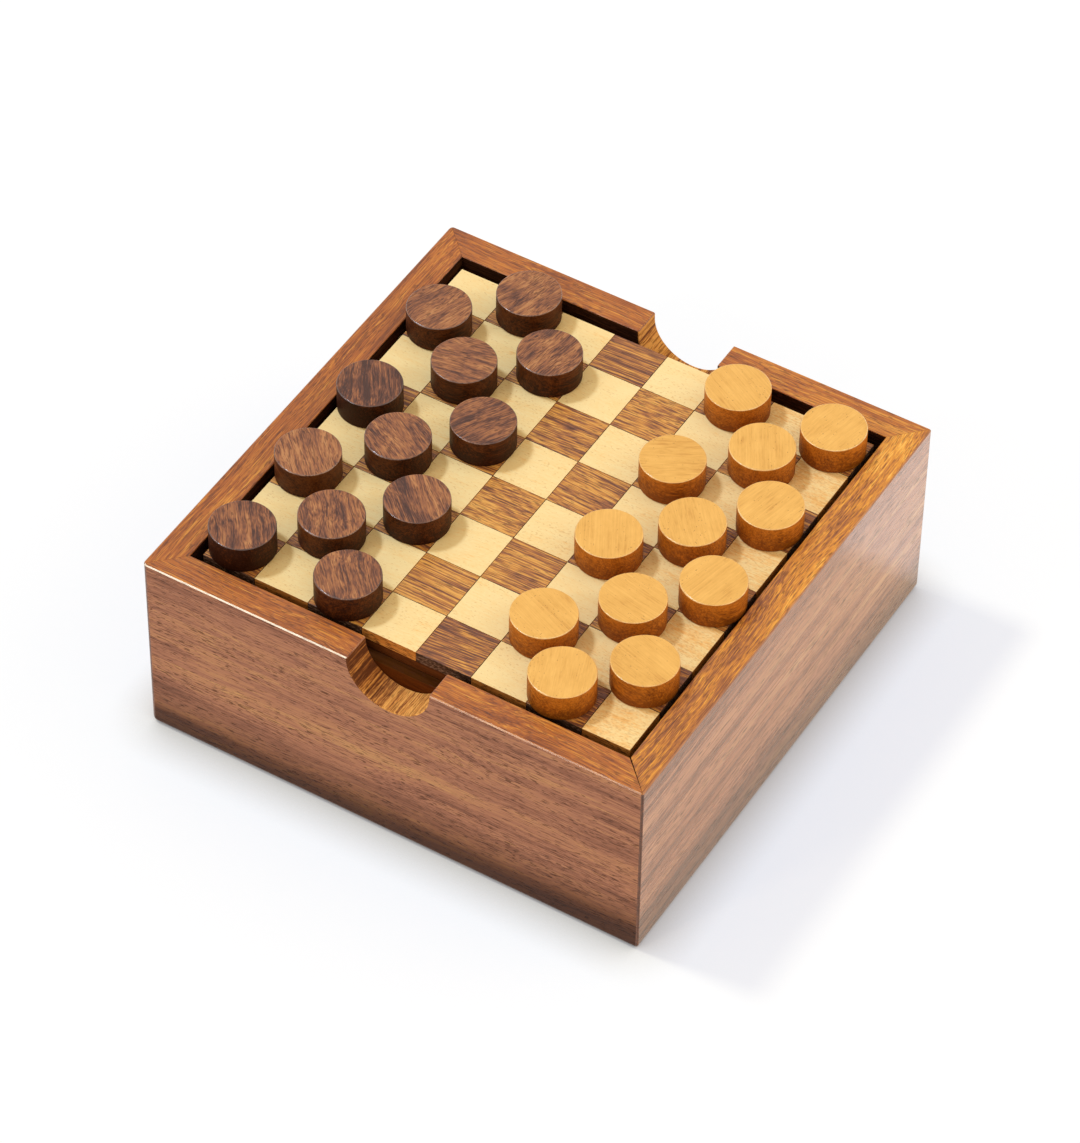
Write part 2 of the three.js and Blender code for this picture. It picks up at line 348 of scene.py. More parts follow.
def wood_material(name, colours, **changes):
    """A lacquered wood. colours go from its darkest streaks to its lightest."""
    look = {**WOOD_DEFAULTS, **changes}
    material = bpy.data.materials.new(name)
    material.use_nodes = True
    tree = material.node_tree
    shader = tree.nodes["Principled BSDF"]
    place = add_node(tree, "ShaderNodeAttribute", attribute_name=look["place"]).outputs["Vector"]
    own_tone = add_node(tree, "ShaderNodeAttribute", attribute_name=look["tone"]).outputs["Fac"]

    # The grain wanders: one slow noise pushes the coordinates sideways.
    wander = noise_of(tree, place, look["warp_length"], look["warp_width"], 1.5)
    push = swing_of(tree, wander, look["warp"] / NOISE_REACH)
    sideways = add_node(tree, "ShaderNodeCombineXYZ", {"Y": push, "Z": push}).outputs[0]
    grain = add_node(tree, "ShaderNodeVectorMath", {0: place, 1: sideways}, operation="ADD").outputs[0]

    tone = math_of(tree, "ADD", own_tone, 0.5)
    layer_values = []
    for index, (length, width, share, crisp) in enumerate(look["layers"]):
        detail = 3.0 if width > DETAILED_WIDTH else 1.0
        value = noise_of(tree, grain, length, width, detail, 0.55, LAYER_SHIFT * index)
        if crisp > 1:
            value = ranged(tree, value, 0.5 - 0.5 / crisp, 0.5 + 0.5 / crisp)
        layer_values.append(value)
        tone = math_of(tree, "ADD", tone, swing_of(tree, value, share))

    if look["bands"]:
        # Broad lighter and darker bands along the wall, with edges that follow the grain.
        level = add_node(tree, "ShaderNodeAttribute", attribute_name="level").outputs["Fac"]
        wavy_level = math_of(tree, "ADD", level, swing_of(tree, layer_values[0], BAND_WAVE))
        share_up = math_of(tree, "DIVIDE", wavy_level, BOX_HEIGHT)
        greys = [(at / BOX_HEIGHT, [0.5 + lighter] * 3) for at, lighter in look["bands"]]
        band_tone = math_of(tree, "SUBTRACT", ramp_of(tree, share_up, greys), 0.5)
        tone = math_of(tree, "ADD", tone, band_tone)

    stops = [((index + 0.5) / len(colours), colour) for index, colour in enumerate(colours)]
    base = ramp_of(tree, tone, stops)

    # Pores are short dark dashes along the grain, thicker on the ground in some bands than in others.
    pore_noise = noise_of(tree, grain, look["pore_length"], look["pore_width"], 0.0, 0.5, PORE_SHIFT)
    crowd = noise_of(tree, grain, CROWD_LENGTH, CROWD_WIDTH, 2.0, 0.5, CROWD_SHIFT)
    by_tone = math_of(tree, "MULTIPLY", own_tone, look["pore_by_tone"])
    crowded = math_of(tree, "ADD", swing_of(tree, crowd, look["pore_crowding"]), by_tone)
    pore = ranged(tree, math_of(tree, "ADD", pore_noise, crowded), look["pore_start"], look["pore_end"])
    base = mixed(tree, math_of(tree, "MULTIPLY", pore, look["pore_share"]), base, rgba(look["pore_colour"]))

    if look["foot_share"]:
        # Painted shade along the foot, fullest at the bottom, with an edge that follows the grain.
        height = add_node(tree, "ShaderNodeAttribute", attribute_name="height").outputs["Fac"]
        wavy_height = math_of(tree, "ADD", height, swing_of(tree, layer_values[0], FOOT_WAVE))
        for at, (start, end, shade) in ((wavy_height, FOOT_SHADE_EDGE), (height, FOOT_SHADE_BOTTOM)):
            share = math_of(tree, "MULTIPLY", ranged(tree, at, start, end), look["foot_share"])
            base = mixed(tree, share, base, mixed(tree, 1.0, base, rgba(shade), "MULTIPLY"))

    relief = math_of(tree, "SUBTRACT", math_of(tree, "MULTIPLY", layer_values[-2], GRAIN_RELIEF), pore)
    bump = add_node(tree, "ShaderNodeBump", {
        "Height": relief, "Strength": look["bump"], "Distance": RELIEF_DEPTH * MM,
    })
    dull_grain = math_of(tree, "MULTIPLY", layer_values[1], look["rough_more"])
    dull = math_of(tree, "ADD", dull_grain, look["rough"] - look["rough_more"] / 2)
    roughness = math_of(tree, "ADD", dull, math_of(tree, "MULTIPLY", pore, PORE_DULLNESS), clamp=True)
    tree.links.new(base, shader.inputs["Base Color"])
    tree.links.new(roughness, shader.inputs["Roughness"])
    tree.links.new(bump.outputs["Normal"], shader.inputs["Normal"])
    shader.inputs["IOR"].default_value = LACQUER_IOR
    shader.inputs["Specular IOR Level"].default_value = look["specular"]
    shader.inputs["Coat Weight"].default_value = look["coat"]
    shader.inputs["Coat Roughness"].default_value = COAT_ROUGHNESS
    return material


def wall_finishes():
    brown = [(0.18, 0.07, 0.04), (0.31, 0.127, 0.074), (0.44, 0.193, 0.113), (0.53, 0.25, 0.125),
             (0.63, 0.345, 0.14)]
    pale = [(0.24, 0.085, 0.045), (0.40, 0.16, 0.09), (0.54, 0.235, 0.135), (0.64, 0.32, 0.17),
            (0.76, 0.44, 0.24)]
    orange = [(0.20, 0.055, 0.015), (0.32, 0.09, 0.02), (0.43, 0.13, 0.025), (0.53, 0.18, 0.03),
              (0.70, 0.30, 0.05)]
    golden = [(0.24, 0.08, 0.03), (0.43, 0.15, 0.035), (0.64, 0.245, 0.034), (0.80, 0.35, 0.045),
              (0.96, 0.52, 0.10)]
    worn_and_highlit = [(0.34, 0.11, 0.03), (0.50, 0.20, 0.06), (0.66, 0.36, 0.16), (0.84, 0.62, 0.42),
            (0.94, 0.82, 0.66)]
    shadowed = [(0.02, 0.006, 0.002), (0.04, 0.013, 0.004), (0.10, 0.036, 0.012), (0.24, 0.10, 0.035)]
    upright = [(0.10, 0.035, 0.015), (0.16, 0.055, 0.022), (0.24, 0.08, 0.03)]
    cut = [(0.15, 0.05, 0.018), (0.33, 0.12, 0.035), (0.64, 0.27, 0.065), (0.84, 0.42, 0.11)]
    front_layers = ((220, 6, 0.9, 1), (160, 1.6, 0.6, 1), (90, 0.5, 0.45, 1.3), (12, 0.25, 0.5, 1.3),
                    (24, 14, 0.35, 1))
    side_layers = ((500, 5, 1.4, 1), (300, 1.6, 0.8, 1), (160, 0.5, 0.5, 1.3), (60, 0.25, 0.4, 1.2),
                   (24, 14, 0.3, 1))
    top_layers = ((120, 6, 0.7, 1), (45, 1.5, 0.8, 1), (26, 0.5, 0.8, 1.3), (9, 0.22, 0.8, 1.2),
                  (15, 9, 0.4, 1))
    fleck_layers = ((60, 4, 0.8, 1), (20, 1.2, 0.8, 1), (8, 0.4, 0.7, 1.4), (2.5, 0.3, 0.5, 1.3),
                    (14, 5, 0.6, 1))
    cut_layers = ((90, 5, 0.8, 1), (40, 0.9, 0.9, 1.3), (14, 0.3, 0.9, 1.3), (1.5, 0.3, 0.6, 1),
                  (9, 9, 0.4, 1))
    dull_side = dict(
        layers=front_layers, coat=0.0, specular=0.15,
        pore_start=0.62, pore_end=0.68, pore_length=2.4, pore_width=0.22, pore_share=0.7,
    )
    return {
        # The walls' feet get painted shade, the front's most.
        "front": wood_material("wall_front_wood", brown, foot_share=1.0, bands=FRONT_BANDS, **dull_side),
        "side": wood_material("wall_side_wood", brown, foot_share=0.4, **dull_side),
        "shiny_side": wood_material(
            "wall_shiny_side_wood", pale, coat=1.0, rough=0.28, layers=side_layers, foot_share=0.6,
            warp_length=150, pore_length=4, pore_width=0.24, pore_share=0.7, pore_start=0.62, pore_end=0.67),
        "top": wood_material("wall_top_wood", orange, layers=top_layers, pore_share=0.5, **SATIN),
        "golden_top": wood_material(
            "wall_golden_top_wood", golden, layers=fleck_layers, pore_share=0.5, **SATIN),
        # The upper edge is lighter, partly from wear and partly as a painted highlight, most at the front's
        # left end.
        "rim": wood_material(
            "wall_rim_wear_and_highlight", worn_and_highlit, tone="wear_and_highlight", coat=0.28, rough=0.4, pore_share=0.3,
            layers=((60, 3, 0.7, 1), (10, 2, 0.5, 1))),
        # The inner sides are near black: painted shade of the narrow gap round the board.
        "mouth": wood_material("wall_mouth_shaded_wood", shadowed, **RAW),
        "corner": wood_material("wall_corner_wood", upright),
        "cut": wood_material(
            "notch_cut_wood", cut, place="cut", tone="cut_tone", warp=0.2, layers=cut_layers,
            pore_share=0.5, **RAW),
    }


def inside_finishes():
    panel = [(0.2, 0.08, 0.03), (0.3, 0.12, 0.045), (0.38, 0.16, 0.06), (0.46, 0.21, 0.08)]
    strip = [(0.045, 0.009, 0.0005), (0.08, 0.017, 0.001), (0.115, 0.028, 0.002)]
    # The strips' tops are darker: painted shade under the board's edge.
    shaded_strip_top = [(0.035, 0.01, 0.002), (0.055, 0.016, 0.003), (0.075, 0.024, 0.005)]
    return {
        "panel": wood_material("floor_panel_wood", panel, **RAW),
        "strip": wood_material("strip_wood", strip, pore_share=0.2, **RAW),
        "shaded_strip_top": wood_material("strip_top_wood", shaded_strip_top, coat=0.0, specular=0.0, rough=0.9),
    }


def board_finishes():
    sheet = [(0.06, 0.014, 0.003), (0.10, 0.025, 0.004), (0.14, 0.038, 0.007)]
    back = [(0.2, 0.065, 0.025), (0.32, 0.11, 0.04), (0.42, 0.15, 0.05), (0.52, 0.2, 0.06)]
    light = [(0.88, 0.49, 0.15), (0.93, 0.69, 0.32), (0.945, 0.75, 0.38), (0.95, 0.765, 0.41)]
    light_edge = [(0.50, 0.17, 0.03), (0.70, 0.26, 0.05), (0.84, 0.36, 0.08)]
    dark = [(0.16, 0.055, 0.025), (0.31, 0.11, 0.042), (0.48, 0.19, 0.045), (0.62, 0.275, 0.054),
            (0.77, 0.395, 0.09)]
    dark_edge = [(0.06, 0.03, 0.016), (0.14, 0.07, 0.042), (0.26, 0.15, 0.10)]
    light_layers = ((60, 5, 0.2, 1), (25, 1.0, 0.3, 1), (6, 0.35, 0.3, 1), (1.2, 0.45, 0.35, 1.2),
                    (9, 6, 0.5, 1))
    dark_layers = ((60, 5, 0.5, 1), (36, 0.8, 0.7, 1.2), (26, 0.42, 1.1, 1.8), (5, 0.25, 0.7, 1.2),
                   (9, 6, 0.4, 1))
    end_layers = ((12, 1.2, 1.0, 1), (1.2, 0.5, 1.4, 1.6), (0.6, 0.3, 0.9, 1))
    return {
        "sheet": wood_material("board_sheet_wood", sheet, pore_share=0.2, **RAW),
        "back": wood_material("board_back_wood", back),
        "light_square": wood_material(
            "light_square_wood", light, layers=light_layers, bump=0.12, coat=0.0, specular=0.15,
            pore_share=0.3, pore_colour=(0.56, 0.27, 0.08), pore_length=0.8, pore_width=0.35,
            pore_by_tone=-0.5, pore_start=0.68, pore_end=0.78),
        "light_edge": wood_material("light_edge_wood", light_edge, **RAW),
        "dark_square": wood_material(
            "dark_square_wood", dark, warp=0.6, layers=dark_layers, pore_length=3.2, pore_width=0.24,
            pore_share=0.6, **SATIN),
        "dark_edge": wood_material("dark_edge_wood", dark_edge, layers=end_layers, **RAW),
    }


def disc_finishes():
    dark = [(0.06, 0.02, 0.01), (0.14, 0.048, 0.024), (0.27, 0.098, 0.04), (0.37, 0.145, 0.052),
            (0.47, 0.21, 0.08)]
    dark_rim = [(0.07, 0.025, 0.012), (0.16, 0.065, 0.03), (0.34, 0.17, 0.09)]
    dark_side = [(0.025, 0.005, 0.0008), (0.085, 0.02, 0.003), (0.14, 0.04, 0.008)]
    light = [(0.62, 0.30, 0.06), (0.76, 0.415, 0.095), (0.83, 0.465, 0.115), (0.88, 0.52, 0.14)]
    # The light discs' rims are paler than their tops: a painted highlight.
    highlit_light_rim = [(0.80, 0.42, 0.10), (0.90, 0.55, 0.18), (0.95, 0.66, 0.28)]
    light_side = [(0.24, 0.062, 0.004), (0.57, 0.178, 0.014), (0.69, 0.245, 0.03)]
    dark_layers = ((50, 2.4, 1.1, 1), (34, 0.8, 0.7, 1), (9, 0.34, 0.7, 1.3), (2, 0.25, 0.6, 1.2),
                   (6, 4, 1.0, 1))
    light_layers = ((60, 4, 0.5, 1), (40, 0.8, 0.4, 1), (30, 0.34, 0.5, 1.2), (2, 0.4, 0.35, 1),
                    (7, 5, 0.8, 1))
    light_side_layers = ((20, 3, 0.3, 1), (10, 0.8, 0.4, 1), (1, 0.5, 0.45, 1.2), (4, 3, 0.3, 1))
    return {
        "dark_disc": wood_material(
            "dark_disc_wood", dark, warp=0.8, warp_length=14, warp_width=7, rough=0.42, layers=dark_layers,
            pore_length=2.5, pore_width=0.3, pore_share=0.6, bump=0.7, **SATIN),
        "dark_disc_rim": wood_material("dark_disc_rim_wood", dark_rim, rough=0.3, coat=0.6),
        "dark_disc_side": wood_material(
            "dark_disc_side_wood", dark_side, pore_share=0.4, rough=0.5, coat=0.0, specular=0.12),
        "light_disc": wood_material(
            "light_disc_wood", light, warp=0.5, layers=light_layers, pore_share=0.5,
            pore_colour=(0.28, 0.10, 0.02), pore_length=0.6, pore_width=0.4, pore_start=0.78, pore_end=0.82,
            bump=0.3, rough=0.4, **SATIN),
        "light_disc_rim": wood_material(
            "light_disc_rim_wood", highlit_light_rim, rough=0.3, coat=0.5, pore_share=0.2),
        "light_disc_side": wood_material(
            "light_disc_side_wood", light_side, rough=0.5, pore_share=0.3, coat=0.0, specular=0.15,
            layers=light_side_layers),
    }


# Mesh helpers

def mesh_from(work, name, edge_round=0):
    """A mesh made from a bmesh, with all its edges rounded where a round is given."""
    if edge_round:
        layer = work.edges.layers.float.new("bevel_weight_edge")
        for edge in work.edges:
            edge[layer] = 1.0
    raw = bpy.data.meshes.new(name)
    work.to_mesh(raw)
    work.free()
    holder = bpy.data.objects.new(name, raw)
    bpy.context.collection.objects.link(holder)
    if edge_round:
        bevel = holder.modifiers.new("round", "BEVEL")
        bevel.width = edge_round * MM
        bevel.segments = EDGE_STEPS
        bevel.limit_method = "WEIGHT"
        bevel.use_clamp_overlap = True
    graph = bpy.context.evaluated_depsgraph_get()
    made = bpy.data.meshes.new_from_object(holder.evaluated_get(graph), preserve_all_data_layers=True,
                                           depsgraph=graph)
    bpy.data.objects.remove(holder)
    bpy.data.meshes.remove(raw)
    made.name = name
    return made


def smooth_by_angle(mesh, degrees):
    for face in mesh.polygons:
        face.use_smooth = True
    mesh.set_sharp_from_angle(angle=math.radians(degrees))


def set_floats(mesh, name, values):
    attribute = mesh.attributes.new(name, "FLOAT", "POINT")
    attribute.data.foreach_set("value", values)


def set_wood(mesh, place_of, name="wood"):
    """Stores each vertex's place in its piece of wood, in millimetres: along the grain, then across it."""
    attribute = mesh.attributes.new(name, "FLOAT_VECTOR", "POINT")
    flat = []
    for vertex in mesh.vertices:
        flat.extend(place_of(vertex.co / MM))
    attribute.data.foreach_set("vector", flat)


def far_off():
    """A random place far away in the wood, so that no two pieces show the same grain."""
    return Vector([random.uniform(-FAR_OFF, FAR_OFF) for _ in range(3)])


def turned(angle, tilt=0.0):
    """A turn from the object's directions to the wood's, for grain at an angle to X that dips a little."""
    flat = Matrix.Rotation(-math.radians(angle), 3, "Z")
    return Matrix.Rotation(math.radians(tilt), 3, "Y") @ flat


def add_piece(name, mesh, body, nodes, materials):
    piece = bpy.data.objects.new(name, mesh)
    bpy.context.collection.objects.link(piece)
    for material in materials:
        mesh.materials.append(material)
    modifier = piece.modifiers.new("normals", "WEIGHTED_NORMAL")
    modifier.keep_sharp = True
    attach(piece, body)
    if nodes:
        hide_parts(*nodes)
    return piece


# Walls

def notch_outline(middle, drop, spread=0.0):
    """The notch's line in a wall's elevation, from its right end to its left, with lips rounded into the top.

    spread moves the line into the wood, to where the chamfer of the notch's edge begins.
    """
    centre = BOX_HEIGHT - drop
    lips_end = BOX_HEIGHT - NOTCH_LIP - LIP_GAP
    below_lips = []
    for step in range(NOTCH_STEPS + 1):
        angle = -math.pi * step / NOTCH_STEPS
        if centre + NOTCH_RADIUS * math.sin(angle) < lips_end:
            reach = NOTCH_RADIUS + spread
            below_lips.append((middle + reach * math.cos(angle), centre + reach * math.sin(angle)))
    lip = NOTCH_LIP - spread
    right_lip = []
    for step in range(LIP_STEPS + 1):
        angle = math.pi / 2 * (1 + step / LIP_STEPS)
        right_lip.append((
            middle + NOTCH_RADIUS + NOTCH_LIP + lip * math.cos(angle),
            BOX_HEIGHT - NOTCH_LIP + lip * math.sin(angle),
        ))
    left_lip = [(2 * middle - x, z) for x, z in reversed(right_lip)]
    return right_lip + below_lips + left_lip


def face_maker(work):
    """A function that makes faces from places in millimetres, with shared vertices and no repeated ones."""
    vertices = {}

    def add_face(places):
        corners = []
        for place in places:
            key = tuple(round(length, 4) for length in place)
            if key not in vertices:
                vertices[key] = work.verts.new(Vector(place) * MM)
            if vertices[key] not in corners:
                corners.append(vertices[key])
        if len(corners) > 2:
            work.faces.new(corners)

    return add_face


def corner_place(corner_round, inset, angle):
    """How far along and how far in a rounded corner's surface is, at an angle from the wall's side."""
    reach = max(corner_round - inset, 0)
    centre = max(corner_round, inset)
    return centre - reach * math.sin(angle), centre - reach * math.cos(angle)


def wall_work(run, notch, rounds, gaps):
    """A mitred wall with its outer corner at the origin, its run along +X and its inner side towards +Y.

    rounds are its two upright corners' radii, and gaps are how far its two mitres are open at the mouth.
    """
    work = bmesh.new()
    add_face = face_maker(work)
    foot_depth = WALL_THICKNESS - RABBET_DEPTH
    foot_top = PANEL_THICKNESS + GLUE_LINE
    angles = [math.pi / 4 * step / CORNER_STEPS for step in range(CORNER_STEPS + 1)]

    def start(u, v, z):
        return (u + GLUE_LINE / 2 + gaps[0] * v / WALL_THICKNESS, v, z)

    def end(u, v, z):
        return (run - u - GLUE_LINE / 2 - gaps[1] * v / WALL_THICKNESS, v, z)

    def columns(row):
        """The row's places round each corner, from its mitre to the side, first the start and then the end."""
        inset, z = row
        return [[place(*corner_place(radius, inset, angle), z) for angle in reversed(angles)]
                for place, radius in ((start, rounds[0]), (end, rounds[1]))]

    rows = []
    for step in range(BASE_STEPS + 1):
        turn = math.pi / 2 * step / BASE_STEPS
        rows.append((BASE_ROUND * (1 - math.sin(turn)), BASE_ROUND * (1 - math.cos(turn))))
    rows.append((0, BOX_HEIGHT - TOP_CHAMFER))
    rows.append((TOP_CHAMFER, BOX_HEIGHT))
    lines = [notch_outline(*notch, spread) for spread in (TOP_CHAMFER, 0, 0, MOUTH_CHAMFER)] if notch else []
    depths = [0, TOP_CHAMFER, WALL_THICKNESS - MOUTH_CHAMFER, WALL_THICKNESS]
    strands = [[(u, depth, z) for u, z in line] for line, depth in zip(lines, depths)]

    def add_band(start_low, end_low, start_high, end_high, outer, inner):
        """A long face between two levels, or two faces on either side of the notch."""
        if strands:
            add_face([start_low, strands[outer][-1], strands[inner][-1], start_high])
            add_face([strands[outer][0], end_low, end_high, strands[inner][0]])
        else:
            add_face([start_low, end_low, end_high, start_high])

    for low, high in zip(rows, rows[1:]):
        for below, above in zip(columns(low), columns(high)):
            for a, b, c, d in zip(below, below[1:], above[1:], above):
                add_face([a, b, c, d])
        low_start, low_end = (side[-1] for side in columns(low))
        high_start, high_end = (side[-1] for side in columns(high))
        if high == rows[-1]:
            add_band(low_start, low_end, high_start, high_end, 0, 1)
        else:
            cut = strands[0] if strands and high == rows[-2] else []
            add_face([low_start, low_end, high_end] + cut + [high_start])

    def inner(place, z, v=WALL_THICKNESS):
        return place(v, v, z)

    for front_line, back_line in zip(strands, strands[1:]):
        for a, b, c, d in zip(front_line, front_line[1:], back_line[1:], back_line):
            add_face([a, d, c, b])
    top_start, top_end = columns(rows[-1])
    edge_start, edge_end = (inner(place, BOX_HEIGHT, depths[2]) for place in (start, end))
    mouth_start, mouth_end = (inner(place, BOX_HEIGHT - MOUTH_CHAMFER) for place in (start, end))
    if strands:
        add_face(top_start + [strands[1][-1], strands[2][-1], edge_start])
        add_face(top_end + [strands[1][0], strands[2][0], edge_end])
    else:
        add_face(top_start + top_end[::-1] + [edge_end, edge_start])
    add_band(edge_start, edge_end, mouth_start, mouth_end, 2, 3)
    cut = strands[3] if strands else []
    add_face([inner(start, foot_top), inner(end, foot_top), mouth_end] + cut + [mouth_start])
    rabbet = [(foot_top, WALL_THICKNESS), (foot_top, foot_depth), (0, foot_depth)]
    for (z1, v1), (z2, v2) in zip(rabbet, rabbet[1:]):
        add_face([inner(start, z1, v1), inner(end, z1, v1), inner(end, z2, v2), inner(start, z2, v2)])
    base_start, base_end = columns(rows[0])
    add_face(base_start + base_end[::-1] + [inner(end, 0, foot_depth), inner(start, 0, foot_depth)])
    mitres = ((start, edge_start, mouth_start), (end, edge_end, mouth_end))
    for side, (place, edge, mouth) in enumerate(mitres):
        on_mitre = [columns(row)[side][0] for row in rows]
        add_face(on_mitre + [edge, mouth] + [inner(place, z, v) for z, v in rabbet])
    bmesh.ops.recalc_face_normals(work, faces=work.faces)
    return work


SIDE, TOP, RIM, MOUTH, CUT, CORNER = range(6)

# How much of a face's normal is along an axis, from a level face down to one that only just leans that way.
LEVEL = 0.93
STEEP = 0.9
HALF = 0.5
SLIGHT = 0.3
LEAST = 0.25

# Where the faces of the inner side, the upper edge and the corners are.
INNER_REACH = 0.2
RIM_REACH = 1
CORNER_REACH = 0.6


def sort_wall_faces(mesh, notch):
    """Gives each face of a wall its finish: side, top, rim, mouth, cut notch or corner."""
    for face in mesh.polygons:
        middle = face.center / MM
        normal = face.normal
        in_notch = False
        if notch:
            from_middle = math.hypot(middle.x - notch[0], middle.z - (BOX_HEIGHT - notch[1]))
            in_notch = from_middle < NOTCH_RADIUS + NOTCH_LIP and abs(normal.y) < STEEP
        near_top = middle.z > BOX_HEIGHT - RIM_REACH
        if in_notch and middle.z < BOX_HEIGHT - NOTCH_LIP / 2:
            face.material_index = CUT
        elif normal.z > LEVEL:
            face.material_index = TOP
        elif normal.y > SLIGHT or middle.y > WALL_THICKNESS - INNER_REACH:
            face.material_index = TOP if normal.z > HALF else MOUTH
        elif near_top and normal.z > LEAST and middle.y < RIM_REACH:
            face.material_index = RIM
        elif abs(normal.x) > LEAST and middle.y < CORNER_REACH and normal.z < SLIGHT:
            face.material_index = CORNER
        else:
            face.material_index = SIDE


def add_walls(finish):
    half_width, half_depth = BOX_WIDTH / 2, BOX_DEPTH / 2
    front_notch = (half_width, FRONT_NOTCH_DROP)
    back_notch = (half_width - BACK_NOTCH_SHIFT, BACK_NOTCH_DROP)
    sides = [
        ("front", BOX_WIDTH, front_notch, (-half_width, -half_depth), (0, OPEN_MITRE)),
        ("right", BOX_DEPTH, None, (half_width, -half_depth), (OPEN_MITRE, 0)),
        ("back", BOX_WIDTH, back_notch, (half_width, half_depth), (0, 0)),
        ("left", BOX_DEPTH, None, (-half_width, half_depth), (0, 0)),
    ]
    # Each wall's side and top finish, the dip of its grain and how far the grain is moved, and its tone and its
    # upper edge's wear and painted highlight at either end.
    looks = {
        "front": ("front", "top", 1.5, 20, (0.02, -0.03), (0.4, -0.15)),
        "right": ("shiny_side", "golden_top", 0.5, 0, (-0.18, 0.02), (-0.3, -0.3)),
        "back": ("side", "top", 1.0, 0, (0.24, -0.14), (-0.4, -0.4)),
        "left": ("side", "top", -0.5, 0, (-0.08, 0.02), (-0.4, -0.4)),
    }
    for index, (name, run, notch, corner, gaps) in enumerate(sides):
        side, top, dip, lowered, tones, wear_and_highlight = looks[name]
        rounds = (CORNER_ROUNDS[index], CORNER_ROUNDS[(index + 1) % len(sides)])
        work = wall_work(run, notch, rounds, gaps)
        mesh = mesh_from(work, f"{name}_wall")
        sort_wall_faces(mesh, notch)
        offset = far_off() + Vector((0, 0, lowered))
        lean = turned(0, dip)
        set_wood(mesh, lambda place: lean @ place + offset)
        set_wood(mesh, lambda place: Vector((place.y, place.x, place.z)) + offset, "cut")
        along = [vertex.co.x / MM / run for vertex in mesh.vertices]

        def tone_at(place):
            # The inner side carries painted shade, darkest at the mouth.
            if place.y > WALL_THICKNESS - MOUTH_CHAMFER / 2:
                return MOUTH_SHADE_TONE + INSIDE_TONE_RISE * (1 - place.z / BOX_HEIGHT)
            share = place.x / run
            return tones[0] * (1 - share) + tones[1] * share

        set_floats(mesh, "tone", [tone_at(vertex.co / MM) for vertex in mesh.vertices])
        if notch:
            # The cut face is dark at its start for painted shade.
            from_start = [(vertex.co.x / MM - notch[0]) / NOTCH_RADIUS + 1 for vertex in mesh.vertices]
            cut_tones = [CUT_SHADED_START_TONE + share * CUT_TONE_RISE for share in from_start]
            set_floats(mesh, "cut_tone", [max(CUT_SHADED_START_TONE, min(CUT_END_TONE, tone)) for tone in cut_tones])
        # The upper edge's wear and painted highlight, one value for each half of the wall.
        set_floats(mesh, "wear_and_highlight", [wear_and_highlight[0] if share < 0.5 else wear_and_highlight[1] for share in along])
        slope = FOOT_SHADE_SLOPE if name == "front" else 0
        heights = [vertex.co.z / MM + slope * (1 - share) for vertex, share in zip(mesh.vertices, along)]
        set_floats(mesh, "height", heights)
        set_floats(mesh, "level", [(lean @ vertex.co).z / MM for vertex in mesh.vertices])
        turn = Matrix.Rotation(math.pi / 2 * index, 4, "Z")
        mesh.transform(Matrix.Translation(Vector((*corner, 0)) * MM) @ turn)
        smooth_by_angle(mesh, SMOOTH_BELOW)
        materials = [finish[key] for key in (side, top, "rim", "mouth", "cut", "corner")]
        add_piece(f"{name}_wall", mesh, "box", [f"wall_{name}"], materials)


# Boxes with rounded edges: the bottom panel, the strips, the sheet, the squares and the inlaid lines

def add_block(work, low, high):
    """A closed box between two corners in millimetres."""
    xs, ys, zs = zip(low, high)
    v = [work.verts.new(Vector((x, y, z)) * MM) for z in zs for y in ys for x in xs]
    for a, b, c, d in ((0, 2, 3, 1), (4, 5, 7, 6), (0, 1, 5, 4), (1, 3, 7, 5), (3, 2, 6, 7), (2, 0, 4, 6)):
        work.faces.new([v[a], v[b], v[c], v[d]])


def add_plain_block(name, node, material, top_material, grain_angle, edge_round):
    """A rounded piece of the box just where a CAD node is."""
    low, high = (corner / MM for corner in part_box(node))
    work = bmesh.new()
    add_block(work, low, high)
    mesh = mesh_from(work, name, edge_round)
    offset, turn = far_off(), turned(grain_angle)
    set_wood(mesh, lambda place: turn @ place + offset)
    set_floats(mesh, "tone", [0.0] * len(mesh.vertices))
    smooth_by_angle(mesh, SMOOTH_BELOW)
    for face in mesh.polygons:
        face.material_index = 1 if face.normal.z > HALF else 0
    add_piece(name, mesh, "box", [node], [material, top_material])


def add_inside(finish):
    panel, strip, shaded_strip_top = finish["panel"], finish["strip"], finish["shaded_strip_top"]
    add_plain_block("floor_panel", "bottom_panel", panel, panel, 0, PANEL_EDGE_ROUND)
    for side in ("front", "back", "left", "right"):
        angle = 0 if side in ("front", "back") else 90
        add_plain_block(
            f"{side}_strip", f"strip_{side}", strip, shaded_strip_top, angle, STRIP_EDGE_ROUND)


# Board

def lines_of(length, low_trim, high_trim):
    """Where the squares' edges are along one side of the board, from its middle."""
    step = (length + low_trim + high_trim) / SQUARES_ACROSS
    inner = [index * step - length / 2 - low_trim for index in range(1, SQUARES_ACROSS)]
    return [-length / 2] + inner + [length / 2]


COLUMN_LINES = lines_of(BOARD_WIDTH, TRIM_LEFT, TRIM_RIGHT)
ROW_LINES = lines_of(BOARD_DEPTH, TRIM_FRONT, TRIM_BACK)


def between(lines, index):
    """A square's ends between its two lines, less half the joint where it meets another square."""
    low_gap = SQUARE_JOINT / 2 if index else 0
    high_gap = SQUARE_JOINT / 2 if index < SQUARES_ACROSS - 1 else 0
    return lines[index] + low_gap, lines[index + 1] - high_gap


def index_among(lines, value):
    """Which column or row a place is in."""
    return sum(value > line for line in lines[1:-1])


# Light squares in these columns, which lie between the discs, are painted more golden by as much: painted shade
# and warm bounce light from the discs.
SHADED_GOLDEN_COLUMNS = {6: -0.12, 7: -0.16}

